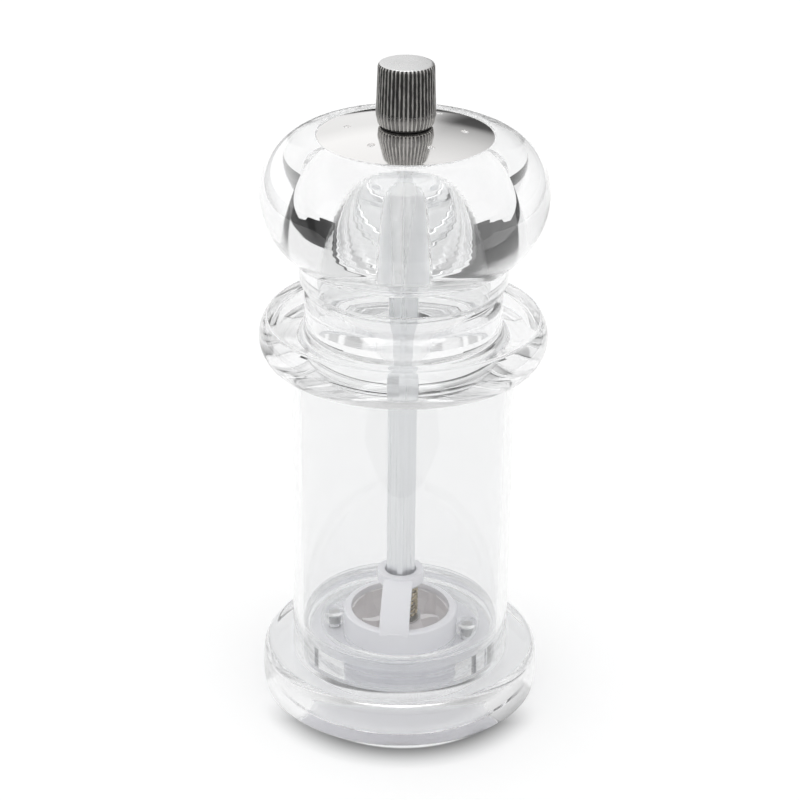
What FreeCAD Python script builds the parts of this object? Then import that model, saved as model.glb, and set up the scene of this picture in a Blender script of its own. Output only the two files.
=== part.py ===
import FreeCAD, Part

import math
import os

import Sketcher

# Clear acrylic pepper mill with a salt shaker in its head.
# Z is the turning axis, Z = 0 is the face that the mill stands on, -Y is the front.
# All lengths are in millimetres and all angles in degrees.

SIZES = {
    # foot: flange, floor with a well, cavity underneath for the grinder
    "foot_radius": 30.3,
    "foot_height": 9.8,
    "foot_bottom_edge": 0.8,
    "foot_top_edge": 2.3,
    "foot_bulge": 0.25,
    "foot_cavity_radius": 20.7,
    "foot_cavity_height": 9.4,
    "small_chamfer": 0.3,
    "glue_gap": 0.05,
    "socket_floor": 6.8,
    "floor_lip": 0.2,
    "floor_top": 17.0,
    "ledge_height": 15.7,
    "well_radius": 17.5,
    "well_floor": 12.6,
    "well_hole_radius": 12.6,
    "boss_circle_radius": 14.9,
    "boss_radius": 2.1,
    "boss_top": 15.4,
    "boss_angle": -9.0,
    "screw_hole_radius": 1.25,
    "screw_hole_depth": 4.9,
    # barrel: tube, collar and flared neck
    "tube_radius": 23.6,
    "tube_bore_radius": 21.4,
    "collar_bottom": 79.3,
    "collar_fillet": 0.7,
    "collar_radius": 30.25,
    "collar_arc": 6.2,
    "collar_edge": 0.8,
    "collar_top": 87.5,
    "collar_slope": 25.8,
    "neck_fillet": 0.9,
    "neck_radius": 20.65,
    "neck_top": 95.6,
    "neck_edge": 0.4,
    "mouth_radius": 19.4,
    "mouth_depth": 1.6,
    "mouth_round": 14.3,
    "funnel_radius": 18.55,
    "funnel_height": 91.5,
    "throat_radius": 14.95,
    "throat_height": 83.45,
    "throat_round": 1.3,
    "ceiling_radius": 15.35,
    "ceiling_height": 81.9,
    "shoulder_radius": 20.4,
    "shoulder_height": 78.05,
    "shoulder_round": 2.5,
    "chamber_height": 76.05,
    # head: grip, salt chamber, post with a square bore, spigot
    "head_bottom": 95.7,
    "head_foot_radius": 21.7,
    "head_foot_edge": 0.4,
    "head_foot_top": 100.6,
    "head_radius": 29.7,
    "head_belt_height": 115.0,
    "head_lower_arc": 17.0,
    "head_upper_arc": 12.3,
    "head_rim": 0.6,
    "seat_edge": 0.15,
    "seat_radius": 18.1,
    "seat_height": 126.2,
    "salt_radius": 16.0,
    "salt_floor": 103.4,
    "salt_corner": 3.0,
    "post_radius": 5.6,
    "post_top_radius": 4.1,
    "post_top": 123.0,
    "post_edge": 0.4,
    "web_bottom": 101.2,
    "recess_radius": 17.8,
    "recess_corner": 0.8,
    "spigot_radius": 19.2,
    "spigot_bottom": 93.9,
    "bore_flats": 5.3,
    # shaker disc: shallow dome in the head's seat
    "disc_radius": 18.05,
    "disc_rim_bottom": 126.25,
    "disc_thickness": 0.8,
    "disc_dome_radius": 74.0,
    "disc_edge": 0.2,
    "disc_rim_width": 0.9,
    "disc_hole_radius": 2.6,
    "pour_radius": 0.8,
    "pour_circle_radius": 11.9,
    "pour_count": 6,
    "pour_angle": -5.0,
    # knob: knurled cap nut with a threaded bush, on a thin washer
    "knob_bottom": 129.5,
    "knob_top": 142.2,
    "knob_top_radius": 5.75,
    "knob_top_round": 0.5,
    "knob_radius": 6.1,
    "knob_wide_height": 131.6,
    "knob_foot_radius": 5.7,
    "knob_bore_radius": 3.4,
    "knob_bore_depth": 9.6,
    "knurl_count": 56,
    "knurl_radius": 0.22,
    "knurl_depth": 0.14,
    "knurl_margin": 0.7,
    "insert_radius": 3.37,
    "insert_bottom": 129.6,
    "insert_length": 7.0,
    "insert_bore_radius": 2.05,
    "knob_washer_radius": 5.2,
    "knob_washer_bottom": 129.25,
    "knob_washer_thickness": 0.2,
    "knob_washer_hole": 2.3,
    # drive shaft: square bar, threaded top end, tapped lower end
    "bar_flats": 5.0,
    "bar_turn": -3.5,
    "bar_corner_radius": 3.05,
    "bar_bottom": 6.95,
    "bar_top": 127.0,
    "thread_radius": 2.0,
    "thread_top": 136.2,
    "thread_pitch": 0.7,
    "thread_depth": 0.35,
    "thread_rings": 12,
    "tapped_radius": 1.3,
    "tapped_depth": 9.0,
    # grinder carrier: flange, hopper ring, two-legged bridge with a guide collar
    "flange_radius": 20.3,
    "flange_bottom": 7.0,
    "flange_top": 9.35,
    "ring_radius": 12.4,
    "ring_bore_radius": 11.3,
    "ring_lip_radius": 10.8,
    "ring_top": 18.0,
    "leg_width": 6.2,
    "leg_foot_height": 17.2,
    "leg_foot_inner": 11.0,
    "leg_foot_outer": 12.35,
    "leg_head_radius": 4.6,
    "leg_head_bottom": 25.2,
    "leg_head_top": 27.0,
    "leg_inner_arc": 11.0,
    "leg_outer_arc": 12.0,
    "leg_turn": 264.0,
    "guide_radius": 5.05,
    "guide_hole_radius": 3.45,
    "guide_bottom": 24.9,
    "guide_top": 27.4,
    # stator and rotor: the working cones open downwards, so lifting the rotor grinds finer
    "stator_radius": 11.25,
    "stator_bottom": 7.05,
    "stator_top": 16.6,
    "stator_outlet_radius": 9.6,
    "stator_throat_radius": 8.9,
    "stator_throat_height": 8.9,
    "stator_throat_length": 0.4,
    "stator_inlet_radius": 10.3,
    "stator_inlet_height": 14.4,
    "stator_tooth_radius": 0.5,
    "stator_tooth_count": 24,
    "stator_tooth_circle": 9.0,
    "lobe_count": 8,
    "lobe_radius": 1.9,
    "lobe_circle_radius": 8.9,
    "lobe_floor": 9.5,
    "rotor_bottom": 6.9,
    "rotor_top": 15.4,
    "rotor_outlet_radius": 9.35,
    "rotor_throat_radius": 8.6,
    "rotor_throat_height": 8.9,
    "rotor_waist_radius": 5.4,
    "rotor_waist_height": 11.5,
    "rotor_neck_radius": 4.6,
    "rotor_bore_flats": 5.1,
    "rotor_tooth_radius": 0.45,
    "rotor_tooth_count": 22,
    "rotor_tooth_circle": 9.1,
    "wing_count": 4,
    "wing_root": 4.2,
    "wing_reach": 8.5,
    "wing_half_width": 1.1,
    "wing_tip": 0.35,
    "wing_inner_arc": 5.0,
    "wing_outer_arc": 4.0,
    "wing_bottom": 10.2,
    "wing_top": 14.8,
    # spring and the washers at its ends
    "spring_seat_radius": 4.5,
    "spring_seat_thickness": 0.5,
    "spring_seat_hole": 3.15,
    "spring_radius": 3.85,
    "wire_radius": 0.32,
    "spring_turns": 6.5,
    "end_gap": 0.05,
    "drive_washer_radius": 4.6,
    "drive_washer_thickness": 0.6,
    "drive_washer_flats": 5.1,
    # rotor fixing
    "rotor_washer_radius": 4.4,
    "rotor_washer_thickness": 0.8,
    "rotor_washer_hole": 1.4,
    "rotor_screw_radius": 1.25,
    "rotor_screw_length": 7.0,
    "rotor_head_radius": 2.6,
    "rotor_head_height": 1.3,
    "socket_radius": 1.1,
    "socket_depth": 0.8,
    # base plate and the two screws that hold the grinder in the foot
    "plate_radius": 20.3,
    "plate_bottom": 5.9,
    "plate_top": 6.95,
    "plate_opening": 10.4,
    "carrier_screw_radius": 1.2,
    "carrier_screw_top": 14.1,
    "carrier_screw_gap": 1.35,
    "carrier_head_radius": 2.3,
    "carrier_head_height": 1.25,
    "slot_width": 0.8,
    "slot_depth": 0.6,
}


class Size:
    """A dimension that carries both its number and its spreadsheet expression."""

    def __init__(self, number, text):
        self.number = float(number)
        self.text = text

    def joined(self, sign, other, number):
        return Size(number, f"({self.text} {sign} {as_size(other).text})")

    def __add__(self, other):
        return self.joined("+", other, self.number + as_size(other).number)

    def __sub__(self, other):
        return self.joined("-", other, self.number - as_size(other).number)

    def __mul__(self, other):
        return self.joined("*", other, self.number * as_size(other).number)

    def __truediv__(self, other):
        return self.joined("/", other, self.number / as_size(other).number)

    def __neg__(self):
        return self * -1


def as_size(value):
    return value if isinstance(value, Size) else Size(value, repr(float(value)))


def root(value):
    return Size(math.sqrt(value.number), f"sqrt({value.text})")


def sine(angle):
    return Size(math.sin(math.radians(angle.number)), f"sin({angle.text})")


def cosine(angle):
    return Size(math.cos(math.radians(angle.number)), f"cos({angle.text})")


class Sheet:
    """The driving dimensions: one named spreadsheet cell for each."""

    def __init__(self, doc, values):
        cells = doc.addObject("Spreadsheet::Sheet", "Sizes")
        for row, (name, value) in enumerate(values.items(), start=1):
            cells.set(f"A{row}", name)
            cells.set(f"B{row}", str(value))
            cells.setAlias(f"B{row}", name)
        doc.recompute()
        for name in values:
            setattr(self, name, Size(getattr(cells, name), f"Sizes.{name}"))


doc = FreeCAD.newDocument("pepper_mill")
size = Sheet(doc, SIZES)
sub_parts = []


def vector(x, y, z=0.0):
    return FreeCAD.Vector(x, y, z)


def bind(target, path, value):
    """Ties one property of an object to the sheet."""
    target.setExpression(path, as_size(value).text)


def new_body(label):
    body = doc.addObject("PartDesign::Body", label.title().replace("_", ""))
    body.Label = label
    sub_parts.append(body)
    return body


def new_sketch(body, name, role, height=0.0, turn=0.0):
    """A sketch on an origin plane, raised along Z (XY plane) and turned about the Z axis."""
    plane = next(f for f in body.Origin.OriginFeatures if f.Role == role)
    sketch = body.newObject("Sketcher::SketchObject", name)
    sketch.AttachmentSupport = [(plane, "")]
    sketch.MapMode = "FlatFace"
    lift = as_size(height)
    spin = as_size(turn)
    axis = vector(0, 0, 1) if role == "XY_Plane" else vector(0, 1, 0)
    sketch.AttachmentOffset = FreeCAD.Placement(
        vector(0, 0, lift.number), FreeCAD.Rotation(axis, spin.number)
    )
    if isinstance(height, Size):
        bind(sketch, "AttachmentOffset.Base.z", height)
    if isinstance(turn, Size):
        bind(sketch, "AttachmentOffset.Rotation.Angle", turn * 1)
    return sketch


def constrain(sketch, kind, value, *where):
    """Adds one dimension to a sketch and ties it to the sheet."""
    value = as_size(value)
    index = sketch.addConstraint(Sketcher.Constraint(kind, *where, value.number))
    if "Sizes." in value.text:
        sketch.setExpression(f"Constraints[{index}]", value.text)


def arc_curve(start, end, radius, left):
    """The short arc from start to end that turns left or right; its ends run anticlockwise."""
    if not left:
        start, end = end, start
    chord = end - start
    rise = math.sqrt(max(radius**2 - (chord.Length / 2) ** 2, 0.0))
    centre = (start + end) * 0.5 + vector(-chord.y, chord.x).normalize() * rise
    angles = [math.atan2(p.y - centre.y, p.x - centre.x) for p in (start, end)]
    return Part.ArcOfCircle(Part.Circle(centre, vector(0, 0, 1), radius), *angles)


class Outline:
    """A closed outline drawn corner by corner, anticlockwise, every corner tied to the sheet."""

    def __init__(self, sketch, x, y):
        self.sketch = sketch
        self.corners = [(as_size(x), as_size(y))]
        self.edges = []

    def line(self, x, y):
        self.corners.append((as_size(x), as_size(y)))
        self.edges.append(None)
        return self

    def left(self, x, y, radius):
        self.corners.append((as_size(x), as_size(y)))
        self.edges.append((as_size(radius), True))
        return self

    def right(self, x, y, radius):
        self.corners.append((as_size(x), as_size(y)))
        self.edges.append((as_size(radius), False))
        return self

    def close(self):
        """Draws the outline, with a straight last edge back to the first corner."""
        self.edges.append(None)
        sketch = self.sketch
        count = len(self.corners)
        first = sketch.GeometryCount
        points = [vector(x.number, y.number) for x, y in self.corners]
        begins = []
        ends = []
        for index, edge in enumerate(self.edges):
            start = points[index]
            end = points[(index + 1) % count]
            if edge is None:
                sketch.addGeometry(Part.LineSegment(start, end))
                begins.append(1)
                ends.append(2)
                continue
            radius, turns_left = edge
            sketch.addGeometry(arc_curve(start, end, radius.number, turns_left))
            begins.append(1 if turns_left else 2)
            ends.append(2 if turns_left else 1)
        for index in range(count):
            after = (index + 1) % count
            sketch.addConstraint(
                Sketcher.Constraint(
                    "Coincident", first + index, ends[index], first + after, begins[after]
                )
            )
        for index, (x, y) in enumerate(self.corners):
            constrain(sketch, "DistanceX", x, -1, 1, first + index, begins[index])
            constrain(sketch, "DistanceY", y, -1, 1, first + index, begins[index])
        for index, edge in enumerate(self.edges):
            if edge is not None:
                constrain(sketch, "Radius", edge[0], first + index)
        return sketch


def circle(sketch, x, y, radius):
    """A circle whose centre and radius are tied to the sheet."""
    x = as_size(x)
    y = as_size(y)
    radius = as_size(radius)
    shape = Part.Circle(vector(x.number, y.number), vector(0, 0, 1), radius.number)
    index = sketch.addGeometry(shape)
    constrain(sketch, "DistanceX", x, -1, 1, index, 3)
    constrain(sketch, "DistanceY", y, -1, 1, index, 3)
    constrain(sketch, "Radius", radius, index)
    return sketch


def square(sketch, flats):
    """A square with its corners on the X and Y axes, given across its flats."""
    corner = as_size(flats) * math.sqrt(0.5)
    return (
        Outline(sketch, corner, 0)
        .line(0, corner)
        .line(-corner, 0)
        .line(0, -corner)
        .close()
    )


def revolve(body, sketch, name="Revolution"):
    feature = body.newObject("PartDesign::Revolution", name)
    feature.Profile = sketch
    feature.ReferenceAxis = (sketch, ["V_Axis"])
    feature.Angle = 360
    body.Tip = feature
    doc.recompute()
    return feature


def pad(body, sketch, length, name="Pad", midplane=False):
    feature = body.newObject("PartDesign::Pad", name)
    feature.Profile = sketch
    feature.Midplane = midplane
    bind(feature, "Length", length)
    body.Tip = feature
    doc.recompute()
    return feature


def cut(body, feature, name):
    """Makes a cutting feature the tip and checks that it really removed material."""
    before = feature.BaseFeature.Shape.Volume
    body.Tip = feature
    doc.recompute()
    if not feature.Shape.Volume < before - 1e-4:
        raise RuntimeError(f"{name} of {body.Label} cuts nothing")
    return feature


def pocket(body, sketch, name="Pocket", depth=None, upwards=False):
    """Cuts the sketch out: downwards or upwards by a depth, or right through both ways."""
    feature = body.newObject("PartDesign::Pocket", name)
    feature.Profile = sketch
    if depth is None:
        feature.Type = "ThroughAll"
        feature.Midplane = True
    else:
        feature.Reversed = upwards
        bind(feature, "Length", depth)
    return cut(body, feature, name)


def groove(body, sketch, name="Groove"):
    feature = body.newObject("PartDesign::Groove", name)
    feature.Profile = sketch
    feature.ReferenceAxis = (sketch, ["V_Axis"])
    feature.Angle = 360
    return cut(body, feature, name)


def polar(body, feature, count, name="Ring"):
    """Repeats a feature evenly round the Z axis."""
    pattern = body.newObject("PartDesign::PolarPattern", name)
    pattern.Originals = [feature]
    pattern.Axis = (next(f for f in body.Origin.OriginFeatures if f.Role == "Z_Axis"), [""])
    pattern.Angle = 360
    bind(pattern, "Occurrences", count)
    body.Tip = pattern
    doc.recompute()
    return pattern


def ring_body(label, inner, outer, bottom, thickness):
    """A flat washer."""
    body = new_body(label)
    sketch = new_sketch(body, f"{body.Name}Face", "XY_Plane", height=bottom)
    circle(sketch, 0, 0, outer)
    circle(sketch, 0, 0, inner)
    pad(body, sketch, thickness)
    return body


def make_foot():
    body = new_body("foot")
    side = size.foot_radius - size.foot_bulge
    half = (size.foot_height - size.foot_bottom_edge - size.foot_top_edge) / 2
    bulge_arc = (half * half + size.foot_bulge * size.foot_bulge) / (size.foot_bulge * 2)
    plug = size.tube_bore_radius - size.glue_gap
    cove = size.floor_top - size.ledge_height
    cove_start = plug - size.floor_lip
    outline = Outline(
        new_sketch(body, "FootOutline", "XZ_Plane"),
        size.well_hole_radius,
        size.foot_cavity_height,
    )
    outline.line(size.foot_cavity_radius, size.foot_cavity_height)
    outline.line(size.foot_cavity_radius, size.small_chamfer)
    outline.line(size.foot_cavity_radius + size.small_chamfer, 0)
    outline.line(side - size.foot_bottom_edge, 0)
    outline.left(side, size.foot_bottom_edge, size.foot_bottom_edge)
    outline.left(side, size.foot_height - size.foot_top_edge, bulge_arc)
    outline.left(side - size.foot_top_edge, size.foot_height, size.foot_top_edge)
    outline.line(size.tube_radius + size.glue_gap, size.foot_height)
    outline.line(size.tube_radius + size.glue_gap, size.socket_floor)
    outline.line(plug, size.socket_floor)
    outline.line(plug, size.floor_top)
    outline.line(cove_start, size.floor_top)
    outline.right(cove_start - cove, size.ledge_height, cove)
    outline.line(size.well_radius, size.ledge_height)
    outline.line(size.well_radius, size.well_floor)
    outline.line(size.well_hole_radius, size.well_floor)
    revolve(body, outline.close())
    bosses = new_sketch(body, "BossFace", "XY_Plane", size.well_floor, size.boss_angle)
    holes = new_sketch(body, "BossHoles", "XY_Plane", size.foot_cavity_height, size.boss_angle)
    for side_sign in (-1, 1):
        along = size.boss_circle_radius * side_sign
        circle(bosses, along, 0, size.boss_radius)
        circle(holes, along, 0, size.screw_hole_radius)
    pad(body, bosses, size.boss_top - size.well_floor, "Bosses")
    pocket(body, holes, "ScrewHoles", size.screw_hole_depth, upwards=True)


def make_barrel():
    body = new_body("barrel")
    middle = (size.collar_bottom + size.collar_top) / 2
    half = size.collar_top - middle
    bulge_centre = size.collar_radius - size.collar_arc
    inner_arc = size.collar_arc - size.collar_edge
    inner_rise = half - size.collar_edge
    edge_reach = root(inner_arc * inner_arc - inner_rise * inner_rise)
    grow = size.collar_arc / inner_arc
    flat_end = bulge_centre + edge_reach
    touch_radius = bulge_centre + edge_reach * grow
    touch_rise = inner_rise * grow
    fillet_radius = size.neck_radius + size.neck_fillet * (sine(size.collar_slope) + 1)
    dish = (flat_end - fillet_radius) * sine(size.collar_slope) / cosine(size.collar_slope)
    fillet_height = size.collar_top - dish
    neck_start = fillet_height + size.neck_fillet * cosine(size.collar_slope)
    outline = Outline(
        new_sketch(body, "BarrelOutline", "XZ_Plane"),
        size.tube_bore_radius,
        size.socket_floor + size.glue_gap,
    )
    outline.line(size.tube_radius, size.socket_floor + size.glue_gap)
    outline.line(size.tube_radius, size.collar_bottom - size.collar_fillet)
    outline.right(size.tube_radius + size.collar_fillet, size.collar_bottom, size.collar_fillet)
    outline.line(flat_end, size.collar_bottom)
    outline.left(touch_radius, middle - touch_rise, size.collar_edge)
    outline.left(touch_radius, middle + touch_rise, size.collar_arc)
    outline.left(flat_end, size.collar_top, size.collar_edge)
    outline.line(fillet_radius, fillet_height)
    outline.right(size.neck_radius, neck_start, size.neck_fillet)
    outline.line(size.neck_radius, size.neck_top - size.neck_edge)
    outline.left(size.neck_radius - size.neck_edge, size.neck_top, size.neck_edge)
    outline.line(size.mouth_radius + size.small_chamfer, size.neck_top)
    outline.line(size.mouth_radius, size.neck_top - size.small_chamfer)
    outline.line(size.mouth_radius, size.neck_top - size.mouth_depth)
    outline.right(size.funnel_radius, size.funnel_height, size.mouth_round)
    outline.line(size.throat_radius, size.throat_height)
    outline.left(size.ceiling_radius, size.ceiling_height, size.throat_round)
    outline.line(size.shoulder_radius, size.shoulder_height)
    outline.right(size.tube_bore_radius, size.chamber_height, size.shoulder_round)
    revolve(body, outline.close())


def make_salt_head():
    body = new_body("salt_head")
    rim_radius = size.seat_radius + size.head_rim
    rim_offset = rim_radius - (size.head_radius - size.head_upper_arc)
    rim_rise = root(size.head_upper_arc * size.head_upper_arc - rim_offset * rim_offset)
    rim_height = size.head_belt_height + rim_rise
    outline = Outline(new_sketch(body, "HeadOutline", "XZ_Plane"), 0, size.web_bottom)
    outline.line(size.recess_radius - size.recess_corner, size.web_bottom)
    outline.right(size.recess_radius, size.web_bottom - size.recess_corner, size.recess_corner)
    outline.line(size.recess_radius, size.spigot_bottom)
    outline.line(size.spigot_radius - size.small_chamfer, size.spigot_bottom)
    outline.line(size.spigot_radius, size.spigot_bottom + size.small_chamfer)
    outline.line(size.spigot_radius, size.head_bottom)
    outline.line(size.head_foot_radius - size.head_foot_edge, size.head_bottom)
    outline.left(
        size.head_foot_radius, size.head_bottom + size.head_foot_edge, size.head_foot_edge
    )
    outline.line(size.head_foot_radius, size.head_foot_top)
    outline.left(size.head_radius, size.head_belt_height, size.head_lower_arc)
    outline.left(rim_radius, rim_height, size.head_upper_arc)
    outline.line(size.seat_radius + size.seat_edge, rim_height)
    outline.line(size.seat_radius, rim_height - size.seat_edge)
    outline.line(size.seat_radius, size.seat_height)
    outline.line(size.salt_radius, size.seat_height)
    outline.line(size.salt_radius, size.salt_floor + size.salt_corner)
    outline.right(size.salt_radius - size.salt_corner, size.salt_floor, size.salt_corner)
    outline.line(size.post_radius + size.post_edge, size.salt_floor)
    outline.right(size.post_radius, size.salt_floor + size.post_edge, size.post_edge)
    outline.line(size.post_top_radius, size.post_top - size.post_edge)
    outline.left(size.post_top_radius - size.post_edge, size.post_top, size.post_edge)
    outline.line(0, size.post_top)
    revolve(body, outline.close())
    bore = new_sketch(body, "BoreFace", "XY_Plane", turn=size.bar_turn)
    pocket(body, square(bore, size.bore_flats), "SquareBore")


def make_shaker_disc():
    body = new_body("shaker_disc")
    upper = size.disc_dome_radius
    lower = size.disc_dome_radius - size.disc_thickness
    rim_top = size.disc_rim_bottom + size.disc_thickness
    top_edge = size.disc_radius - size.disc_edge
    centre = rim_top - root(upper * upper - top_edge * top_edge)
    hole = size.disc_hole_radius
    step = size.disc_radius - size.disc_rim_width
    outline = Outline(
        new_sketch(body, "DiscOutline", "XZ_Plane"),
        hole,
        centre + root(lower * lower - hole * hole),
    )
    outline.right(step, centre + root(lower * lower - step * step), lower)
    outline.line(step, size.disc_rim_bottom)
    outline.line(size.disc_radius, size.disc_rim_bottom)
    outline.line(size.disc_radius, rim_top - size.disc_edge)
    outline.line(top_edge, rim_top)
    outline.left(hole, centre + root(upper * upper - hole * hole), upper)
    revolve(body, outline.close())
    face = new_sketch(body, "PourHole", "XY_Plane", turn=size.pour_angle)
    circle(face, size.pour_circle_radius, 0, size.pour_radius)
    polar(body, pocket(body, face, "PourHoleCut"), size.pour_count)


def make_knob():
    body = new_body("knob")
    bore_top = size.knob_bottom + size.knob_bore_depth
    outline = Outline(
        new_sketch(body, "KnobOutline", "XZ_Plane"), size.knob_bore_radius, size.knob_bottom
    )
    outline.line(size.knob_foot_radius, size.knob_bottom)
    outline.line(size.knob_radius, size.knob_wide_height)
    outline.line(size.knob_top_radius, size.knob_top - size.knob_top_round)
    outline.left(
        size.knob_top_radius - size.knob_top_round, size.knob_top, size.knob_top_round
    )
    outline.line(0, size.knob_top)
    outline.line(0, bore_top)
    outline.line(size.knob_bore_radius, bore_top)
    revolve(body, outline.close())
    # one knurl groove follows the taper: a loft between a wide and a narrow circle
    out = size.knurl_radius - size.knurl_depth
    low = new_sketch(body, "KnurlFoot", "XY_Plane", size.knob_bottom - size.knurl_margin)
    circle(low, size.knob_radius + out, 0, size.knurl_radius)
    high = new_sketch(body, "KnurlHead", "XY_Plane", size.knob_top - size.knurl_margin)
    circle(high, size.knob_top_radius + out, 0, size.knurl_radius)
    knurl = body.newObject("PartDesign::SubtractiveLoft", "Knurl")
    knurl.Profile = low
    knurl.Sections = [high]
    knurl.Ruled = True
    polar(body, cut(body, knurl, "Knurl"), size.knurl_count)


def make_drive_shaft():
    body = new_body("drive_shaft")
    half = size.bar_flats / 2
    along = root(size.bar_corner_radius * size.bar_corner_radius - half * half)
    near = (half - along) * math.sqrt(0.5)
    far = (half + along) * math.sqrt(0.5)
    section = Outline(
        new_sketch(body, "BarSection", "XY_Plane", size.bar_bottom, size.bar_turn), far, -near
    )
    section.left(far, near, size.bar_corner_radius)
    section.line(near, far)
    section.left(-near, far, size.bar_corner_radius)
    section.line(-far, near)
    section.left(-far, -near, size.bar_corner_radius)
    section.line(-near, -far)
    section.left(near, -far, size.bar_corner_radius)
    pad(body, section.close(), size.bar_top - size.bar_bottom, "Bar")
    stem = Outline(new_sketch(body, "StemOutline", "XZ_Plane"), 0, size.bar_top)
    stem.line(size.thread_radius, size.bar_top)
    stem.line(size.thread_radius, size.thread_top - size.thread_depth)
    stem.line(size.thread_radius - size.thread_depth, size.thread_top)
    stem.line(0, size.thread_top)
    revolve(body, stem.close(), "Stem")
    ring_height = size.thread_top - size.thread_pitch * 1.5
    half_ring = size.thread_pitch * 0.4
    ring = Outline(
        new_sketch(body, "ThreadRing", "XZ_Plane"),
        size.thread_radius - size.thread_depth,
        ring_height,
    )
    ring.line(size.thread_radius + size.thread_depth, ring_height - half_ring * 2)
    ring.line(size.thread_radius + size.thread_depth, ring_height + half_ring * 2)
    thread = groove(body, ring.close(), "ThreadGroove")
    pattern = body.newObject("PartDesign::LinearPattern", "ThreadRings")
    pattern.Originals = [thread]
    pattern.Direction = (
        next(f for f in body.Origin.OriginFeatures if f.Role == "Z_Axis"),
        [""],
    )
    pattern.Reversed = True
    bind(pattern, "Length", size.thread_pitch * (size.thread_rings - 1))
    bind(pattern, "Occurrences", size.thread_rings)
    body.Tip = pattern
    doc.recompute()
    tapped = new_sketch(body, "TappedFace", "XY_Plane", size.bar_bottom)
    circle(tapped, 0, 0, size.tapped_radius)
    pocket(body, tapped, "TappedHole", size.tapped_depth, upwards=True)


def make_grinder_carrier():
    body = new_body("grinder_carrier")
    lip_bottom = size.stator_top + size.end_gap
    outline = Outline(
        new_sketch(body, "CarrierOutline", "XZ_Plane"),
        size.ring_bore_radius,
        size.flange_bottom,
    )
    outline.line(size.flange_radius, size.flange_bottom)
    outline.line(size.flange_radius, size.flange_top - size.small_chamfer)
    outline.line(size.flange_radius - size.small_chamfer, size.flange_top)
    outline.line(size.ring_radius, size.flange_top)
    outline.line(size.ring_radius, size.ring_top - size.small_chamfer)
    outline.line(size.ring_radius - size.small_chamfer, size.ring_top)
    outline.line(size.ring_lip_radius, size.ring_top)
    outline.line(size.ring_lip_radius, lip_bottom)
    outline.line(size.ring_bore_radius, lip_bottom)
    revolve(body, outline.close())
    guide = new_sketch(body, "GuideFace", "XY_Plane", size.guide_bottom)
    circle(guide, 0, 0, size.guide_radius)
    leg = Outline(
        new_sketch(body, "LegOutline", "XZ_Plane", turn=size.leg_turn),
        size.leg_foot_outer,
        size.leg_foot_height,
    )
    leg.left(size.leg_head_radius, size.leg_head_top, size.leg_outer_arc)
    leg.line(size.leg_head_radius, size.leg_head_bottom)
    leg.right(size.leg_foot_inner, size.leg_foot_height, size.leg_inner_arc)
    polar(body, pad(body, leg.close(), size.leg_width, "Leg", midplane=True), 2, "Legs")
    pad(body, guide, size.guide_top - size.guide_bottom, "Guide")
    hole = new_sketch(body, "GuideHole", "XY_Plane")
    circle(hole, 0, 0, size.guide_hole_radius)
    pocket(body, hole, "GuideHoleCut", size.guide_top, upwards=True)
    screw_holes(body)


def screw_holes(body):
    """Two clearance holes for the carrier screws, right through the body."""
    holes = new_sketch(body, "ScrewHoles", "XY_Plane", turn=size.boss_angle)
    for side_sign in (-1, 1):
        circle(holes, size.boss_circle_radius * side_sign, 0, size.carrier_screw_gap)
    pocket(body, holes, "ScrewHolesCut")


def make_stator():
    body = new_body("stator")
    throat_top = size.stator_throat_height + size.stator_throat_length
    outline = Outline(
        new_sketch(body, "StatorOutline", "XZ_Plane"),
        size.stator_outlet_radius,
        size.stator_bottom,
    )
    outline.line(size.stator_radius, size.stator_bottom)
    outline.line(size.stator_radius, size.stator_top)
    outline.line(size.stator_inlet_radius, size.stator_top)
    outline.line(size.stator_inlet_radius, size.stator_inlet_height)
    outline.line(size.stator_throat_radius, throat_top)
    outline.line(size.stator_throat_radius, size.stator_throat_height)
    revolve(body, outline.close())
    tooth = new_sketch(body, "ToothGap", "XY_Plane")
    circle(tooth, size.stator_tooth_circle, 0, size.stator_tooth_radius)
    polar(body, pocket(body, tooth, "ToothGapCut"), size.stator_tooth_count, "Teeth")
    lobe = new_sketch(body, "InletLobe", "XY_Plane", size.stator_top)
    circle(lobe, size.lobe_circle_radius, 0, size.lobe_radius)
    cut_lobe = pocket(body, lobe, "InletLobeCut", size.stator_top - size.lobe_floor)
    polar(body, cut_lobe, size.lobe_count, "InletLobes")


def make_rotor():
    body = new_body("rotor")
    outline = Outline(new_sketch(body, "RotorOutline", "XZ_Plane"), 0, size.rotor_bottom)
    outline.line(size.rotor_outlet_radius, size.rotor_bottom)
    outline.line(size.rotor_throat_radius, size.rotor_throat_height)
    outline.line(size.rotor_waist_radius, size.rotor_waist_height)
    outline.line(size.rotor_neck_radius, size.wing_top)
    outline.line(size.rotor_neck_radius, size.rotor_top)
    outline.line(0, size.rotor_top)
    revolve(body, outline.close())
    tip_inner = size.wing_reach - size.wing_tip
    wing = Outline(
        new_sketch(body, "WingOutline", "XY_Plane", size.wing_bottom),
        size.wing_root,
        -size.wing_half_width,
    )
    wing.right(size.wing_reach, size.wing_tip, size.wing_inner_arc)
    wing.line(tip_inner, size.wing_half_width)
    wing.left(size.wing_root, size.wing_half_width, size.wing_outer_arc)
    blade = pad(body, wing.close(), size.wing_top - size.wing_bottom, "Wing")
    polar(body, blade, size.wing_count, "Wings")
    tooth = new_sketch(body, "ToothGap", "XY_Plane")
    circle(tooth, size.rotor_tooth_circle, 0, size.rotor_tooth_radius)
    gap = pocket(body, tooth, "ToothGapCut", size.rotor_throat_height, upwards=True)
    polar(body, gap, size.rotor_tooth_count, "Teeth")
    bore = new_sketch(body, "BoreFace", "XY_Plane", turn=size.bar_turn)
    pocket(body, square(bore, size.rotor_bore_flats), "Bore")


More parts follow.
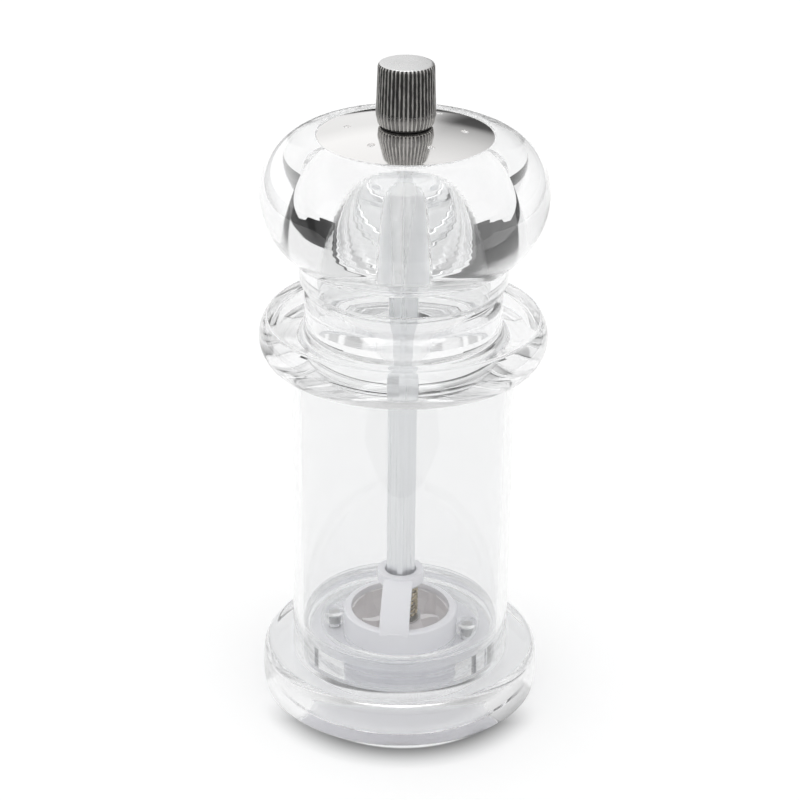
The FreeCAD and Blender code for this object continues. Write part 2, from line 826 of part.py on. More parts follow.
def make_drive_washer():
    body = new_body("drive_washer")
    bottom = size.guide_bottom - size.end_gap - size.drive_washer_thickness
    face = new_sketch(body, "DriveWasherFace", "XY_Plane", bottom, size.bar_turn)
    circle(face, 0, 0, size.drive_washer_radius)
    square(face, size.drive_washer_flats)
    pad(body, face, size.drive_washer_thickness)
    return bottom


def make_spring(seat_top, washer_bottom):
    """An open coil: a wire circle swept along a helix between its two washers."""
    coil_radius = size.spring_radius - size.wire_radius
    wire_bottom = seat_top + size.end_gap + size.wire_radius
    height = washer_bottom - size.end_gap - size.wire_radius - wire_bottom
    spine = doc.addObject("Part::Helix", "SpringSpine")
    bind(spine, "Radius", coil_radius)
    bind(spine, "Height", height)
    bind(spine, "Pitch", height / size.spring_turns)
    bind(spine, "Placement.Base.z", wire_bottom)
    wire = doc.addObject("Part::Circle", "SpringWire")
    bind(wire, "Radius", size.wire_radius)
    wire.Placement = FreeCAD.Placement(vector(0, 0), FreeCAD.Rotation(vector(1, 0), 90))
    bind(wire, "Placement.Base.x", coil_radius)
    bind(wire, "Placement.Base.z", wire_bottom)
    spine.SegmentLength = 0.25
    doc.recompute()
    spring = doc.addObject("Part::Sweep", "Spring")
    spring.Label = "spring"
    spring.Sections = [wire]
    spring.Spine = (spine, [f"Edge{index + 1}" for index in range(len(spine.Shape.Edges))])
    spring.Solid = True
    spring.Frenet = True
    doc.recompute()
    sub_parts.append(spring)


def make_rotor_screw(washer_bottom):
    """Pan head with a hexagon socket, and a shank up into the shaft's tapped end."""
    body = new_body("rotor_screw")
    head_top = washer_bottom - size.end_gap
    head_bottom = head_top - size.rotor_head_height
    edge = size.small_chamfer
    outline = Outline(new_sketch(body, "ScrewOutline", "XZ_Plane"), 0, head_bottom)
    outline.line(size.rotor_head_radius - edge, head_bottom)
    outline.left(size.rotor_head_radius, head_bottom + edge, edge)
    outline.line(size.rotor_head_radius, head_top)
    outline.line(size.rotor_screw_radius, head_top)
    outline.line(size.rotor_screw_radius, head_top + size.rotor_screw_length)
    outline.line(0, head_top + size.rotor_screw_length)
    revolve(body, outline.close())
    socket = new_sketch(body, "SocketFace", "XY_Plane", head_bottom)
    across = size.socket_radius
    rise = across * math.sqrt(0.75)
    hexagon = Outline(socket, across, 0)
    hexagon.line(across / 2, rise)
    hexagon.line(-across / 2, rise)
    hexagon.line(-across, 0)
    hexagon.line(-across / 2, -rise)
    hexagon.line(across / 2, -rise)
    pocket(body, hexagon.close(), "Socket", size.socket_depth, upwards=True)


def make_base_plate():
    body = new_body("base_plate")
    edge = size.small_chamfer
    outline = Outline(
        new_sketch(body, "PlateOutline", "XZ_Plane"), size.plate_opening, size.plate_bottom
    )
    outline.line(size.plate_radius - edge, size.plate_bottom)
    outline.left(size.plate_radius, size.plate_bottom + edge, edge)
    outline.line(size.plate_radius, size.plate_top)
    outline.line(size.plate_opening, size.plate_top)
    revolve(body, outline.close())
    screw_holes(body)


def make_carrier_screws():
    """Two slotted pan-head screws: separate solids that share one body."""
    body = new_body("carrier_screws")
    body.AllowCompound = True
    head_top = size.plate_bottom - size.end_gap
    head_bottom = head_top - size.carrier_head_height
    heads = new_sketch(body, "HeadFaces", "XY_Plane", head_bottom, size.boss_angle)
    shanks = new_sketch(body, "ShankFaces", "XY_Plane", head_bottom, size.boss_angle)
    slots = new_sketch(body, "SlotFaces", "XY_Plane", head_bottom, size.boss_angle)
    reach = size.carrier_head_radius + size.end_gap
    half_slot = size.slot_width / 2
    for side_sign in (-1, 1):
        along = size.boss_circle_radius * side_sign
        circle(heads, along, 0, size.carrier_head_radius)
        circle(shanks, along, 0, size.carrier_screw_radius)
        slot = Outline(slots, along - reach, -half_slot)
        slot.line(along + reach, -half_slot)
        slot.line(along + reach, half_slot)
        slot.line(along - reach, half_slot)
        slot.close()
    pad(body, heads, size.carrier_head_height, "Heads")
    pad(body, shanks, size.carrier_screw_top - head_bottom, "Shanks")
    pocket(body, slots, "Slots", size.slot_depth, upwards=True)


def make_all():
    make_foot()
    make_barrel()
    make_salt_head()
    make_shaker_disc()
    make_knob()
    ring_body(
        "knob_insert",
        size.insert_bore_radius,
        size.insert_radius,
        size.insert_bottom,
        size.insert_length,
    )
    ring_body(
        "knob_washer",
        size.knob_washer_hole,
        size.knob_washer_radius,
        size.knob_washer_bottom,
        size.knob_washer_thickness,
    )
    make_drive_shaft()
    make_grinder_carrier()
    make_stator()
    make_rotor()
    spring_top = make_drive_washer()
    seat_bottom = size.rotor_top + size.end_gap
    ring_body(
        "spring_seat",
        size.spring_seat_hole,
        size.spring_seat_radius,
        seat_bottom,
        size.spring_seat_thickness,
    )
    make_spring(seat_bottom + size.spring_seat_thickness, spring_top)
    washer_bottom = size.rotor_bottom - size.end_gap - size.rotor_washer_thickness
    ring_body(
        "rotor_washer",
        size.rotor_washer_hole,
        size.rotor_washer_radius,
        washer_bottom,
        size.rotor_washer_thickness,
    )
    make_rotor_screw(washer_bottom)
    make_base_plate()
    make_carrier_screws()


def check_document():
    """Stops before anything is written if an object failed or a shape is not sound."""
    for item in doc.Objects:
        if any(word in item.State for word in ("Invalid", "Error")):
            raise RuntimeError(f"{item.Label} did not compute: {item.State}")
    for part in sub_parts:
        shape = part.Shape
        if shape.isNull() or not shape.isValid() or not shape.Solids:
            raise RuntimeError(f"{part.Label} has no sound shape")


make_all()
doc.recompute()
check_document()
os.makedirs("parts", exist_ok=True)
for part in sub_parts:
    part.Shape.exportStep(f"parts/{part.Label}.step")
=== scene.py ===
import math

import bmesh
import bpy
from mathutils import Matrix, Vector


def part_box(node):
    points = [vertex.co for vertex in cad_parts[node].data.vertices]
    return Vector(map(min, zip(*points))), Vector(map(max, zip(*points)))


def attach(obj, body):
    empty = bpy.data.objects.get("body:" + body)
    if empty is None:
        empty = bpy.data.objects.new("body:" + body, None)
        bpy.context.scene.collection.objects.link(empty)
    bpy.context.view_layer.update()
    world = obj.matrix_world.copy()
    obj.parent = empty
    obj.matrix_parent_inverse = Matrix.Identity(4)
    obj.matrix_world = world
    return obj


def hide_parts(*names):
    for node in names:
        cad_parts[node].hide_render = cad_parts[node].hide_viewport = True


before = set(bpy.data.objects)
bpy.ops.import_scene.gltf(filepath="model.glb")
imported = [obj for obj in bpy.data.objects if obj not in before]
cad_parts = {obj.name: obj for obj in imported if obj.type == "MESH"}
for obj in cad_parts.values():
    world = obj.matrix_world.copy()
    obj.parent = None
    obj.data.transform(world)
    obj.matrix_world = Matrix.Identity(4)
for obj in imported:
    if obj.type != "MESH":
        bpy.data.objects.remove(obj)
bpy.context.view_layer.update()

MM = 0.001
STEPS = 256
FLUTES = 42
BAR_TURN = math.radians(-3.5)
BOUNCES = 160


def node_size(node):
    """Radius, bottom and top of a turned CAD node, in millimetres."""
    low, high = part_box(node)
    return high.x / MM, low.z / MM, high.z / MM


# --- shapes -----------------------------------------------------------------


class Profile:
    """A turned outline in millimetres, as (radius, height) rows; it runs anticlockwise."""

    def __init__(self, radius, height):
        self.rows = [(radius, height)]

    def line(self, radius, height, steps=1):
        start = self.rows[-1]
        for step in range(1, steps + 1):
            along = step / steps
            self.rows.append((start[0] + (radius - start[0]) * along,
                              start[1] + (height - start[1]) * along))
        return self

    def turn(self, radius, height, bend, steps):
        """An arc of radius |bend| to the point: it turns left if bend is positive."""
        start = Vector(self.rows[-1])
        end = Vector((radius, height))
        chord = end - start
        rise = math.sqrt(max(bend * bend - (chord.length / 2) ** 2, 0.0))
        side = Vector((-chord.y, chord.x)).normalized() * math.copysign(rise, bend)
        centre = (start + end) / 2 + side
        first = start - centre
        sweep = 2 * math.asin(min(chord.length / 2 / abs(bend), 1.0)) * math.copysign(1, bend)
        for step in range(1, steps + 1):
            angle = sweep * step / steps
            spun = Matrix.Rotation(angle, 2) @ first
            self.rows.append((centre.x + spun.x, centre.y + spun.y))
        return self

    def left(self, radius, height, bend, steps=8):
        return self.turn(radius, height, bend, steps)

    def right(self, radius, height, bend, steps=8):
        return self.turn(radius, height, -bend, steps)


def square_radius(flats, corner=math.inf):
    """Radius of a square bar or bore by angle; its corners lie just off the X and Y axes."""
    def radius(angle):
        from_flat = (angle - BAR_TURN) % (math.pi / 2) - math.pi / 4
        return min(flats / 2 / math.cos(from_flat), corner)
    return radius


def lathe(name, profile, materials, steps=STEPS, closed=True, sharp=35.0, mark=()):
    """Turns a profile of (radius or function of angle, height) rows about Z into one mesh.

    mark lists the rows whose band, up to the next row, takes the second material.
    """
    mesh = bmesh.new()
    rings = []
    for radius, height in profile:
        if not callable(radius) and abs(radius) < 1e-6:
            rings.append([mesh.verts.new((0.0, 0.0, height * MM))])
            continue
        ring = []
        for step in range(steps):
            angle = 2 * math.pi * step / steps
            reach = (radius(angle) if callable(radius) else radius) * MM
            ring.append(mesh.verts.new(
                (reach * math.cos(angle), reach * math.sin(angle), height * MM)))
        rings.append(ring)
    last = len(rings) if closed else len(rings) - 1
    for row in range(last):
        here = rings[row]
        there = rings[(row + 1) % len(rings)]
        if len(here) == 1 and len(there) == 1:
            continue
        for step in range(steps):
            after = (step + 1) % steps
            corners = [here[step % len(here)], here[after % len(here)],
                       there[after % len(there)], there[step % len(there)]]
            face = mesh.faces.new(list(dict.fromkeys(corners)))
            face.material_index = 1 if row in mark else 0
    bmesh.ops.recalc_face_normals(mesh, faces=mesh.faces)
    return as_object(name, mesh, materials, sharp)


def as_object(name, mesh, materials, sharp=35.0):
    data = bpy.data.meshes.new(name)
    mesh.to_mesh(data)
    mesh.free()
    data.shade_smooth()
    data.set_sharp_from_angle(angle=math.radians(sharp))
    for material in materials:
        data.materials.append(material)
    piece = bpy.data.objects.new(name, data)
    bpy.context.scene.collection.objects.link(piece)
    return piece


def tube_along(name, points, radius, materials, sides=16):
    """A round wire along a list of points, with flat ends."""
    mesh = bmesh.new()
    rings = []
    for index, point in enumerate(points):
        before = points[max(index - 1, 0)]
        after = points[min(index + 1, len(points) - 1)]
        along = (after - before).normalized()
        side = Vector((point.x, point.y, 0.0)).normalized()
        side = (side - along * side.dot(along)).normalized()
        other = along.cross(side)
        ring = []
        for corner in range(sides):
            angle = 2 * math.pi * corner / sides
            offset = side * math.cos(angle) + other * math.sin(angle)
            ring.append(mesh.verts.new((point + offset * radius) * MM))
        rings.append(ring)
    for here, there in zip(rings, rings[1:]):
        for corner in range(sides):
            after = (corner + 1) % sides
            mesh.faces.new([here[corner], here[after], there[after], there[corner]])
    mesh.faces.new(rings[0])
    mesh.faces.new(rings[-1])
    bmesh.ops.recalc_face_normals(mesh, faces=mesh.faces)
    return as_object(name, mesh, materials, sharp=50.0)


# --- materials --------------------------------------------------------------


def new_material(name, color, **settings):
    """A Principled material; settings are its socket names with underscores."""
    material = bpy.data.materials.new(name)
    material.use_nodes = True
    shader = material.node_tree.nodes["Principled BSDF"]
    shader.inputs["Base Color"].default_value = (*color, 1.0)
    for socket, value in settings.items():
        shader.inputs[socket.replace("_", " ")].default_value = value
    return material, material.node_tree, shader


def math_node(tree, operation, first, second):
    node = tree.nodes.new("ShaderNodeMath")
    node.operation = operation
    for socket, value in zip(node.inputs, (first, second)):
        if isinstance(value, float):
            socket.default_value = value
        else:
            tree.links.new(value, socket)
    return node.outputs["Value"]


def coordinate(tree, kind="Object"):
    return tree.nodes.new("ShaderNodeTexCoord").outputs[kind]


def axes_of(tree, where):
    """The X, Y and Z sockets of a coordinate, by name."""
    apart = tree.nodes.new("ShaderNodeSeparateXYZ")
    tree.links.new(where, apart.inputs["Vector"])
    return apart.outputs


def noise(tree, scale, stretch=(1.0, 1.0, 1.0), detail=4.0, roughness=0.5):
    """Noise in object space, in cycles per metre, stretched along the axes."""
    mapping = tree.nodes.new("ShaderNodeMapping")
    mapping.inputs["Scale"].default_value = stretch
    texture = tree.nodes.new("ShaderNodeTexNoise")
    texture.inputs["Scale"].default_value = scale
    texture.inputs["Detail"].default_value = detail
    texture.inputs["Roughness"].default_value = roughness
    tree.links.new(coordinate(tree), mapping.inputs["Vector"])
    tree.links.new(mapping.outputs["Vector"], texture.inputs["Vector"])
    return texture.outputs["Fac"]


def turning(tree, pitch, wobble=0.0):
    """Fine rings round the Z axis, as a lathe leaves them on a flat face."""
    wave = tree.nodes.new("ShaderNodeTexWave")
    wave.wave_type = "RINGS"
    wave.rings_direction = "Z"
    wave.inputs["Scale"].default_value = 0.314 / pitch
    wave.inputs["Distortion"].default_value = wobble
    tree.links.new(coordinate(tree), wave.inputs["Vector"])
    return wave.outputs["Fac"]


def spread(tree, value, low, high):
    """Maps a 0 to 1 value onto a range."""
    node = tree.nodes.new("ShaderNodeMapRange")
    node.inputs["From Min"].default_value = 0.3
    node.inputs["From Max"].default_value = 0.7
    node.inputs["To Min"].default_value = low
    node.inputs["To Max"].default_value = high
    tree.links.new(value, node.inputs["Value"])
    return node.outputs["Result"]


def two_tone(tree, value, first, second):
    """A colour between two, chosen by the value."""
    ramp = tree.nodes.new("ShaderNodeValToRGB")
    ramp.color_ramp.elements[0].position = 0.35
    ramp.color_ramp.elements[0].color = (*first, 1.0)
    ramp.color_ramp.elements[1].position = 0.65
    ramp.color_ramp.elements[1].color = (*second, 1.0)
    tree.links.new(value, ramp.inputs["Fac"])
    return ramp.outputs["Color"]


def bump(tree, shader, height, strength, distance):
    node = tree.nodes.new("ShaderNodeBump")
    node.inputs["Strength"].default_value = strength
    node.inputs["Distance"].default_value = distance
    tree.links.new(height, node.inputs["Height"])
    tree.links.new(node.outputs["Normal"], shader.inputs["Normal"])


def pass_light(tree, shader, tint):
    """Lets the room's light through a clear piece onto what is inside, a little dimmed."""
    path = tree.nodes.new("ShaderNodeLightPath")
    either = math_node(tree, "MAXIMUM", path.outputs["Is Shadow Ray"],
                       path.outputs["Is Diffuse Ray"])
    clear = tree.nodes.new("ShaderNodeBsdfTransparent")
    clear.inputs["Color"].default_value = (*tint, 1.0)
    mix = tree.nodes.new("ShaderNodeMixShader")
    output = tree.nodes["Material Output"]
    tree.links.new(either, mix.inputs["Fac"])
    tree.links.new(shader.outputs["BSDF"], mix.inputs[1])
    tree.links.new(clear.outputs["BSDF"], mix.inputs[2])
    tree.links.new(mix.outputs["Shader"], output.inputs["Surface"])


def clear_acrylic():
    material, tree, shader = new_material(
        "clear_acrylic", (0.922, 0.925, 0.927), Transmission_Weight=1.0, IOR=1.49)
    handling = noise(tree, 90.0, detail=5.0)
    tree.links.new(spread(tree, handling, 0.0, 0.012), shader.inputs["Roughness"])
    bump(tree, shader, noise(tree, 55.0, detail=1.0), 0.012, 0.001)
    pass_light(tree, shader, (0.94, 0.942, 0.944))
    return material


def frosted_glowing_acrylic():
    # Emission Strength 0.1 makes the frosted bore glow faintly: painted light, not a lamp.
    material, tree, shader = new_material(
        "frosted_glowing_acrylic", (0.99, 0.993, 0.995), Transmission_Weight=0.9, IOR=1.49,
        Emission_Strength=0.1)
    grain = noise(tree, 900.0, stretch=(1.0, 1.0, 0.25))
    tree.links.new(spread(tree, grain, 0.28, 0.4), shader.inputs["Roughness"])
    bump(tree, shader, grain, 0.15, 0.0002)
    pass_light(tree, shader, (0.95, 0.952, 0.954))
    return material


def polished_steel():
    material, tree, shader = new_material("polished_steel", (0.92, 0.91, 0.90), Metallic=1.0)
    polish = noise(tree, 260.0)
    tree.links.new(spread(tree, polish, 0.05, 0.10), shader.inputs["Roughness"])
    bump(tree, shader, noise(tree, 45.0, detail=1.0), 0.03, 0.001)
    return material


def knurled_nickel():
    """Nickel with a painted highlight on the knurl's ridges and painted shade in the grooves
    between them, over random grain.
    """
    material, tree, shader = new_material("knurled_nickel", (0.60, 0.59, 0.58), Metallic=1.0)
    axes = axes_of(tree, coordinate(tree))
    angle = math_node(tree, "ARCTAN2", axes["Y"], axes["X"])
    ridge = math_node(tree, "COSINE", math_node(tree, "MULTIPLY", angle, float(FLUTES)), 0.0)
    grain = noise(tree, 1200.0, stretch=(1.0, 1.0, 0.4))
    ridge_sheen_and_grain = math_node(tree, "ADD", math_node(tree, "MULTIPLY", ridge, 0.32),
                     math_node(tree, "MULTIPLY", grain, 0.7))
    # Painted light and shade: the ridges are lighter and the grooves darker, mixed with random
    # grain.
    tint = two_tone(tree, ridge_sheen_and_grain, (0.22, 0.215, 0.21), (0.70, 0.69, 0.67))
    tree.links.new(tint, shader.inputs["Base Color"])
    tree.links.new(spread(tree, ridge_sheen_and_grain, 0.12, 0.58), shader.inputs["Roughness"])
    bump(tree, shader, grain, 0.06, 0.0001)
    return material


def satin_nickel():
    material, tree, shader = new_material("satin_nickel", (0.78, 0.78, 0.78), Metallic=1.0)
    rings = turning(tree, 0.00016, wobble=0.4)
    tree.links.new(spread(tree, noise(tree, 700.0), 0.24, 0.34), shader.inputs["Roughness"])
    bump(tree, shader, rings, 0.08, 0.0001)
    return material


def turned_brass():
    material, tree, shader = new_material("turned_brass", (0.76, 0.60, 0.33), Metallic=1.0)
    rings = turning(tree, 0.0002, wobble=0.3)
    tree.links.new(spread(tree, noise(tree, 500.0), 0.22, 0.40), shader.inputs["Roughness"])
    bump(tree, shader, rings, 0.12, 0.0001)
    return material


def dark_rubber():
    material, tree, shader = new_material("dark_rubber", (0.035, 0.033, 0.032))
    grain = noise(tree, 2500.0, detail=3.0)
    tree.links.new(spread(tree, grain, 0.55, 0.75), shader.inputs["Roughness"])
    bump(tree, shader, grain, 0.2, 0.0001)
    return material


def drawn_aluminium():
    material, tree, shader = new_material("drawn_aluminium", (0.82, 0.83, 0.84), Metallic=1.0)
    draw = noise(tree, 1500.0, stretch=(1.0, 1.0, 0.02), detail=2.0)
    tint = two_tone(tree, draw, (0.80, 0.81, 0.82), (0.86, 0.87, 0.88))
    tree.links.new(tint, shader.inputs["Base Color"])
    tree.links.new(spread(tree, draw, 0.26, 0.34), shader.inputs["Roughness"])
    bump(tree, shader, draw, 0.04, 0.0001)
    return material


def white_plastic():
    material, tree, shader = new_material(
        "white_plastic", (0.95, 0.945, 0.985), Subsurface_Weight=0.25, Subsurface_Scale=0.002)
    shader.inputs["Subsurface Radius"].default_value = (1.0, 1.0, 1.0)
    flow = noise(tree, 120.0, detail=2.0)
    tree.links.new(two_tone(tree, flow, (0.94, 0.935, 0.98), (0.96, 0.955, 0.99)),
                   shader.inputs["Base Color"])
    tree.links.new(spread(tree, noise(tree, 900.0), 0.36, 0.50), shader.inputs["Roughness"])
    bump(tree, shader, noise(tree, 3000.0), 0.08, 0.0001)
    return material


def white_ceramic():
    material, tree, shader = new_material("white_ceramic", (0.95, 0.93, 0.93))
    grain = noise(tree, 2200.0, detail=6.0, roughness=0.7)
    tree.links.new(two_tone(tree, grain, (0.92, 0.895, 0.90), (0.96, 0.945, 0.945)),
                   shader.inputs["Base Color"])
    tree.links.new(spread(tree, grain, 0.35, 0.55), shader.inputs["Roughness"])
    bump(tree, shader, grain, 0.15, 0.0001)
    return material


def spring_wire():
    material, tree, shader = new_material("spring_wire", (0.50, 0.42, 0.28), Metallic=1.0)
    stain = noise(tree, 900.0)
    tree.links.new(two_tone(tree, stain, (0.30, 0.25, 0.17), (0.66, 0.57, 0.40)),
                   shader.inputs["Base Color"])
    tree.links.new(spread(tree, stain, 0.22, 0.40), shader.inputs["Roughness"])
    return material


def fixing_steel():
    material, tree, shader = new_material("fixing_steel", (0.60, 0.60, 0.60), Metallic=1.0)
    rings = turning(tree, 0.0003, wobble=0.6)
    tree.links.new(spread(tree, noise(tree, 800.0), 0.25, 0.42), shader.inputs["Roughness"])
    bump(tree, shader, rings, 0.06, 0.0001)
    return material


# --- pieces -----------------------------------------------------------------


def carve(piece, cutters, operation, sharp=35.0):
    """Cuts the cutters out of a piece, or joins them to it, for good."""
    for cutter in cutters:
        step = piece.modifiers.new("carve", "BOOLEAN")
        step.operation = operation
        step.solver = "EXACT"
        step.object = cutter
    bpy.context.view_layer.update()
    graph = bpy.context.evaluated_depsgraph_get()
    carved = bpy.data.meshes.new_from_object(piece.evaluated_get(graph))
    piece.modifiers.clear()
    piece.data = carved
    carved.shade_smooth()
    carved.set_sharp_from_angle(angle=math.radians(sharp))
    for cutter in cutters:
        bpy.data.objects.remove(cutter)


def peg(radius, bottom, top, along=0.0, turned=0.0, steps=48):
    """A plain upright cylinder for carving, standing off the Z axis."""
    rows = [(0.0, bottom), (radius, bottom), (radius, top), (0.0, top)]
    piece = lathe("peg", rows, [], steps=steps, closed=False)
    angle = math.radians(turned)
    piece.data.transform(Matrix.Translation(
        (along * MM * math.cos(angle), along * MM * math.sin(angle), 0.0)))
    return piece


def make_foot(acrylic):
    """Flange, groove for the tube, floor with a well, two screw bosses, grinder cavity."""
    radius, bottom, floor_top = node_size("foot")
    side = radius - 0.25
    flange_top = bottom + 9.8
    cavity_top = bottom + 9.4
    ledge = floor_top - 1.3
    well = bottom + 12.6
    throat, cavity, groove, rim = 12.6, 20.7, bottom + 6.8, 21.35
    outline = Profile(throat, cavity_top)
    outline.line(cavity, cavity_top)
    outline.line(cavity, bottom + 0.3)
    outline.line(21.0, bottom)
    outline.line(side - 0.8, bottom)
    outline.left(side, bottom + 0.8, 0.8)
    outline.left(side, flange_top - 2.3, 22.6, steps=20)
    outline.left(side - 2.3, flange_top, 2.3, steps=14)
    outline.line(23.65, flange_top)
    outline.line(23.65, groove)
    outline.line(rim, groove)
    outline.line(rim, floor_top)
    outline.line(21.15, floor_top)
    outline.right(19.85, ledge, 1.3)
    outline.line(17.5, ledge)
    outline.line(17.5, well)
    outline.line(throat, well)
    piece = lathe("foot_clear", outline.rows, [acrylic])
    boss_circle, boss_turns = 14.9, (-9, 171)
    bosses = [peg(2.1, well - 0.5, bottom + 15.4, boss_circle, turn) for turn in boss_turns]
    holes = [peg(1.25, cavity_top - 1.0, cavity_top + 4.9, boss_circle, turn)
             for turn in boss_turns]
    carve(piece, bosses, "UNION")
    carve(piece, holes, "DIFFERENCE")
    return piece


def make_barrel(acrylic):
    """Tube, collar and neck, with a mouth that narrows to a throat like a funnel."""
    tube, bore = 23.6, 21.4
    bottom, neck_top = node_size("barrel")[1:]
    under = neck_top - 16.3
    over = neck_top - 8.1
    middle = (under + over) / 2
    outline = Profile(bore, bottom)
    outline.line(tube, bottom)
    outline.line(tube, under - 0.7, steps=8)
    outline.right(tube + 0.7, under, 0.7)
    outline.line(28.32, under)
    outline.left(28.95, middle - 3.79, 0.8)
    outline.left(28.95, middle + 3.79, 6.2, steps=24)
    outline.left(28.32, over, 0.8)
    outline.line(21.94, over - 3.08, steps=4)
    outline.right(20.65, over - 2.27, 0.9)
    outline.line(20.65, neck_top - 0.4, steps=4)
    outline.left(20.25, neck_top, 0.4)
    outline.line(19.7, neck_top)
    outline.line(19.4, neck_top - 0.3)
    outline.line(19.4, neck_top - 1.6)
    outline.right(18.55, neck_top - 4.1, 14.3)
    outline.line(14.95, neck_top - 12.15, steps=8)
    outline.left(15.35, neck_top - 13.7, 1.3, steps=16)
    outline.line(20.4, neck_top - 17.55, steps=8)
    outline.right(bore, neck_top - 19.55, 2.5, steps=12)
    return lathe("barrel_clear", outline.rows, [acrylic])


def make_head(acrylic, frosted):
    """Grip with a salt chamber that keeps its turning rings, a square-bored post and a spigot."""
    belt_radius, bottom, rim = node_size("salt_head")
    bore = square_radius(5.3)
    web = bottom + 7.3
    foot = bottom + 1.8
    belt = bottom + 21.1
    seat = bottom + 32.3
    floor = bottom + 9.5
    post_top = bottom + 29.1
    chamber, seat_radius, spigot = 16.0, 18.1, 17.8
    ring_pitch, ring_depth, ring_steps = 0.85, 0.002, 5
    outline = Profile(bore, web)
    outline.rows.append((17.0, web))
    outline.right(spigot, web - 0.8, 0.8)
    outline.line(spigot, bottom)
    outline.line(18.9, bottom)
    outline.line(19.2, bottom + 0.3)
    outline.line(19.2, foot)
    outline.line(21.3, foot)
    outline.left(21.7, foot + 0.4, 0.4)
    outline.line(21.7, foot + 4.9, steps=3)
    outline.left(belt_radius, belt, 17.0, steps=40)
    outline.left(18.75, rim, 12.3, steps=40)
    outline.line(18.25, rim)
    outline.line(seat_radius, rim - 0.15)
    outline.line(seat_radius, seat)
    outline.line(chamber, seat)
    wall_bottom = floor + 3.0
    count = round((seat - wall_bottom) / ring_pitch) * ring_steps
    for step in range(1, count):
        height = seat - (seat - wall_bottom) * step / count
        wave = math.sin(2 * math.pi * (seat - height) / ring_pitch)
        outline.rows.append((chamber + ring_depth * wave, height))
    outline.line(chamber, wall_bottom)
    outline.right(13.0, floor, 3.0, steps=16)
    outline.line(6.0, floor)
    outline.right(5.6, floor + 0.4, 0.4)
    outline.line(4.1, post_top - 0.4, steps=16)
    outline.left(3.85, post_top, 0.4, steps=4)
    outline.rows.append((bore, post_top))
    outline.rows.append((bore, (post_top + web) / 2))
    last = len(outline.rows) - 1
    return lathe("head_clear", outline.rows, [acrylic, frosted], mark=(last - 1, last))


def make_disc(steel):
    """Domed plate with a stepped rim, a centre hole and six pouring holes."""
    radius, bottom, top = node_size("shaker_disc")
    dome, thickness, hole = 74.0, 0.8, 2.6
    edge = 0.2
    rim_top = bottom + thickness
    centre = rim_top - math.sqrt(dome ** 2 - (radius - edge) ** 2)
    inner = dome - thickness
    step = radius - 0.9
    outline = Profile(hole + 0.1, centre + math.sqrt(inner ** 2 - hole ** 2))
    outline.right(step, centre + math.sqrt(inner ** 2 - step ** 2), inner, steps=24)
    outline.line(step, bottom)
    outline.line(radius, bottom)
    outline.line(radius, rim_top - edge)
    outline.left(radius - edge, rim_top, edge, steps=4)
    outline.left(hole + 0.1, top, dome, steps=32)
    outline.line(hole, top - 0.1)
    outline.line(hole, top - thickness)
    piece = lathe("disc_plate", outline.rows, [steel])
    holes = [peg(0.8, bottom - 1.0, top + 1.0, 11.9, 60 * turn - 5) for turn in range(6)]
    carve(piece, holes, "DIFFERENCE", sharp=30.0)
    return piece


def make_knob(sides, cap):
    """Knurled cap nut: a slight taper, vertical flutes and a plain satin top."""
    widest, bottom, top = node_size("knob")
    depth = 0.26
    def fluted(radius):
        return lambda angle: radius - depth * (0.5 - 0.5 * math.cos(FLUTES * angle)) ** 0.8
    rows = [(3.4, bottom + 9.6), (3.4, bottom), (5.2, bottom), (fluted(5.62), bottom + 0.15),
            (fluted(5.7), bottom + 0.3)]
    for step in range(1, 5):
        rows.append((fluted(5.7 + (widest - 5.7) * step / 4), bottom + 0.3 + 1.8 * step / 4))
    for step in range(1, 9):
        rows.append((fluted(widest + (5.76 - widest) * step / 8), bottom + 2.1 + 9.9 * step / 8))
    rows += [(fluted(5.66), top - 0.38), (5.42, top - 0.12), (5.2, top - 0.02), (5.0, top),
             (2.5, top), (0.0, top)]
    inner = [(0.0, bottom + 9.6)]
    last = len(rows)
    return lathe("knob_shell", inner + rows, [sides, cap], steps=FLUTES * 12,
                 closed=False, sharp=50.0, mark=range(last - 4, last + 1))


def make_shaft(aluminium):
    """Square bar with rounded corners, and the plain core of its stud."""
    corner, bottom, top = node_size("drive_shaft")
    bar_top = top - 9.2
    bar = square_radius(5.0, corner)
    rows = [(0.0, bottom + 9.0), (1.3, bottom + 9.0), (1.3, bottom), (bar, bottom)]
    rows += [(bar, bottom + (bar_top - bottom) * step / 12) for step in range(1, 13)]
    core = 1.68
    rows += [(core, bar_top), (core, top - 0.3), (core - 0.3, top), (0.0, top)]
    return lathe("shaft_bar", rows, [aluminium], steps=360, closed=False, sharp=20.0)


def make_thread(aluminium):
    """The stud's thread: a vee ridge wound round the core."""
    top = node_size("drive_shaft")[2]
    pitch, core, crest = 0.7, 1.66, 2.0
    start = top - 9.0
    around = 48
    total = round((top - 0.35 - start) / pitch * around)
    run_out = around / 2
    mesh = bmesh.new()
    rings = []
    for step in range(total + 1):
        angle = 2 * math.pi * step / around
        height = start + pitch * step / around
        fade = min(1.0, step / run_out, (total - step) / run_out)
        reach = core + (crest - core) * fade
        ring = []
        for radius, rise in ((core - 0.1, -0.33), (core, -0.3), (reach, -0.05),
                             (reach, 0.05), (core, 0.3), (core - 0.1, 0.33)):
            ring.append(mesh.verts.new((radius * math.cos(angle) * MM,
                                        radius * math.sin(angle) * MM,
                                        (height + rise) * MM)))
        rings.append(ring)
    for here, there in zip(rings, rings[1:]):
        for corner in range(len(here)):
            after = (corner + 1) % len(here)
            mesh.faces.new([here[corner], there[corner], there[after], here[after]])
    mesh.faces.new(rings[0])
    mesh.faces.new(rings[-1])
    bmesh.ops.recalc_face_normals(mesh, faces=mesh.faces)
    return as_object("shaft_thread", mesh, [aluminium], sharp=25.0)


